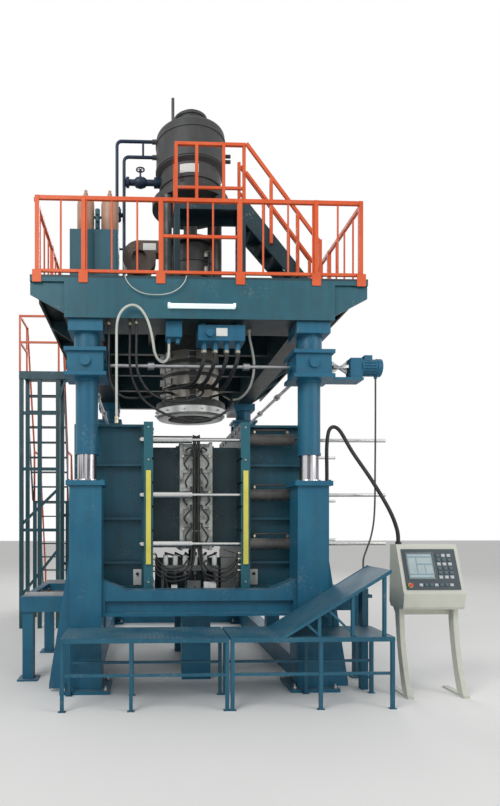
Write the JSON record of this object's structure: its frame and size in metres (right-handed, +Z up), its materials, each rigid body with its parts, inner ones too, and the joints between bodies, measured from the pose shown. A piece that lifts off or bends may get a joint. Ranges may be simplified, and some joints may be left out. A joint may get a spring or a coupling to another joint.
{
  "type": "blow moulding machine",
  "caption": "Accumulator-head extrusion blow moulding machine with a lifting extruder deck, a horizontal platen clamp, access stair, work step and console.",
  "frame": {"origin": "on the floor, at the centre of the anchor bolt pattern of the four pillars", "axes": "+X to the operator's right, +Y to the rear, +Z up"},
  "size_m": [6.2662, 7.9502, 8.19],
  "materials": {
    "frame_paint": "semi-gloss blue-teal machine enamel",
    "deck_paint": "semi-gloss blue-teal enamel, slightly dusty",
    "dark_paint": "dark green-teal enamel",
    "barrel_paint": "dark grey-green enamel",
    "rail_paint": "orange safety enamel",
    "bright_steel": "ground and polished",
    "machined_steel": "machined",
    "mould_metal": "milled, slightly dull",
    "cylinder_steel": "dark oiled paint",
    "head_steel": "heat-darkened steel and heater bands",
    "die_steel": "ground, light grey",
    "yellow_paint": "yellow safety enamel",
    "console_paint": "warm light grey powder coat",
    "panel_plastic": "dark blue-grey front foil",
    "screen_glass": "pale lit screen",
    "button_plastic": "red moulded",
    "conduit_rubber": "black sheathing",
    "cable_dark": "dark grey sheath",
    "cable_pale": "pale grey sheath",
    "bottle_paint": "tan enamel",
    "pipe_paint": "dark blue enamel",
    "lamp_plastic": "white diffuser",
    "heater_steel": "heater band sheet steel",
    "hopper_steel": "rolled stainless sheet",
    "unit_metal": "anodised and plain"
  },
  "bodies": {
    "base": {"base_frame": "frame_paint", "front_pillars": "frame_paint", "rear_pillars": "frame_paint", "guide_columns": "bright_steel", "front_cross_beam": "frame_paint", "clamp_bed": "frame_paint", "slide_rails": "bright_steel", "drive_cylinders": "cylinder_steel", "work_steps": "frame_paint", "chute": "frame_paint", "stair_tower": "dark_paint", "stair_handrail": "rail_paint", "console_housing": "console_paint", "console_panel": "panel_plastic", "console_screen": "screen_glass", "console_conduit": "conduit_rubber", "blow_unit": "unit_metal"},
    "blow_pin": {"blow_pin": "bright_steel"},
    "emergency_button": {"emergency_button": "button_plastic"},
    "left_carriage": {"side_frame_left": "frame_paint", "platen_left": "dark_paint", "mould_half_left": "mould_metal", "safety_bar_left": "yellow_paint", "tie_rods": "bright_steel", "drive_rod_left": "bright_steel"},
    "right_carriage": {"side_frame_right": "frame_paint", "platen_right": "dark_paint", "mould_half_right": "mould_metal", "safety_bar_right": "yellow_paint", "clamp_cylinders": "cylinder_steel", "drive_rod_right": "bright_steel"},
    "platform": {"front_beam": "deck_paint", "deck_frame": "deck_paint", "lift_jacks": "frame_paint", "lift_gearmotor": "frame_paint", "deck_railing": "rail_paint", "upper_platform": "dark_paint", "upper_railing": "rail_paint", "head_body": "head_steel", "head_barrel": "barrel_paint", "die_ring": "die_steel", "extruder_barrel": "heater_steel", "extruder_drive": "frame_paint", "hopper": "hopper_steel", "gas_bottles": "bottle_paint", "bottle_cabinet": "dark_paint", "head_pipes": "pipe_paint", "tube_lamp": "lamp_plastic", "deck_blower": "cylinder_steel", "valve_block": "deck_paint", "motor_cable": "cable_dark", "signal_cable": "cable_pale", "air_hose": "cable_pale"},
    "front_shaft": {"front_shaft": "machined_steel"},
    "side_shaft_left": {"side_shaft_left": "machined_steel"},
    "side_shaft_right": {"side_shaft_right": "machined_steel"},
    "head_piston": {"head_piston": "machined_steel"},
    "die_mandrel": {"die_mandrel": "head_steel"},
    "extruder_screw": {"extruder_screw": "machined_steel"},
    "hopper_lid": {"hopper_lid": "hopper_steel"}
  },
  "joints": [
    {"name": "platform_lift", "type": "slide", "parent": "base", "child": "platform", "axis": [0, 0, 1], "range_m": [-0.28, 0.4]},
    {"name": "left_clamp_slide", "type": "slide", "parent": "base", "child": "left_carriage", "axis": [-1, 0, 0], "range_m": [0, 0.47]},
    {"name": "right_clamp_slide", "type": "slide", "parent": "base", "child": "right_carriage", "axis": [1, 0, 0], "range_m": [0, 0.47]},
    {"name": "front_shaft_turn", "type": "hinge", "parent": "platform", "child": "front_shaft", "pos_m": [0, -2.4, 4.0302], "axis": [1, 0, 0], "range_deg": [-5040, 7200]},
    {"name": "side_shaft_left_turn", "type": "hinge", "parent": "platform", "child": "side_shaft_left", "pos_m": [-1.4, 0, 4.0302], "axis": [0, 1, 0], "range_deg": [-5040, 7200]},
    {"name": "side_shaft_right_turn", "type": "hinge", "parent": "platform", "child": "side_shaft_right", "pos_m": [1.4, 0, 4.0302], "axis": [0, 1, 0], "range_deg": [-5040, 7200]},
    {"name": "head_push", "type": "slide", "parent": "platform", "child": "head_piston", "axis": [0, 0, -1], "range_m": [0, 0.45]},
    {"name": "mandrel_stroke", "type": "slide", "parent": "platform", "child": "die_mandrel", "axis": [0, 0, -1], "range_m": [0, 0.04]},
    {"name": "screw_turn", "type": "hinge", "parent": "platform", "child": "extruder_screw", "pos_m": [0, 1, 5.67], "axis": [0, 1, 0], "continuous": true},
    {"name": "hopper_lid_hinge", "type": "hinge", "parent": "platform", "child": "hopper_lid", "pos_m": [0, 1.763, 6.774], "axis": [-1, 0, 0], "range_deg": [0, 105]},
    {"name": "blow_pin_stroke", "type": "slide", "parent": "base", "child": "blow_pin", "axis": [0, 0, 1], "range_m": [0, 0.12]},
    {"name": "emergency_press", "type": "slide", "parent": "base", "child": "emergency_button", "axis": [0, 0.9397, -0.342], "range_m": [0, 0.006], "stiffness_N_per_m": 600, "springref_m": -0.003}
  ],
  "couplings": [
    {"joint": "left_clamp_slide", "follows": "right_clamp_slide", "ratio": 1},
    {"joint": "front_shaft_turn", "follows": "platform_lift", "rad_per_m": 314.16},
    {"joint": "side_shaft_left_turn", "follows": "platform_lift", "rad_per_m": 314.16},
    {"joint": "side_shaft_right_turn", "follows": "platform_lift", "rad_per_m": 314.16}
  ]
}
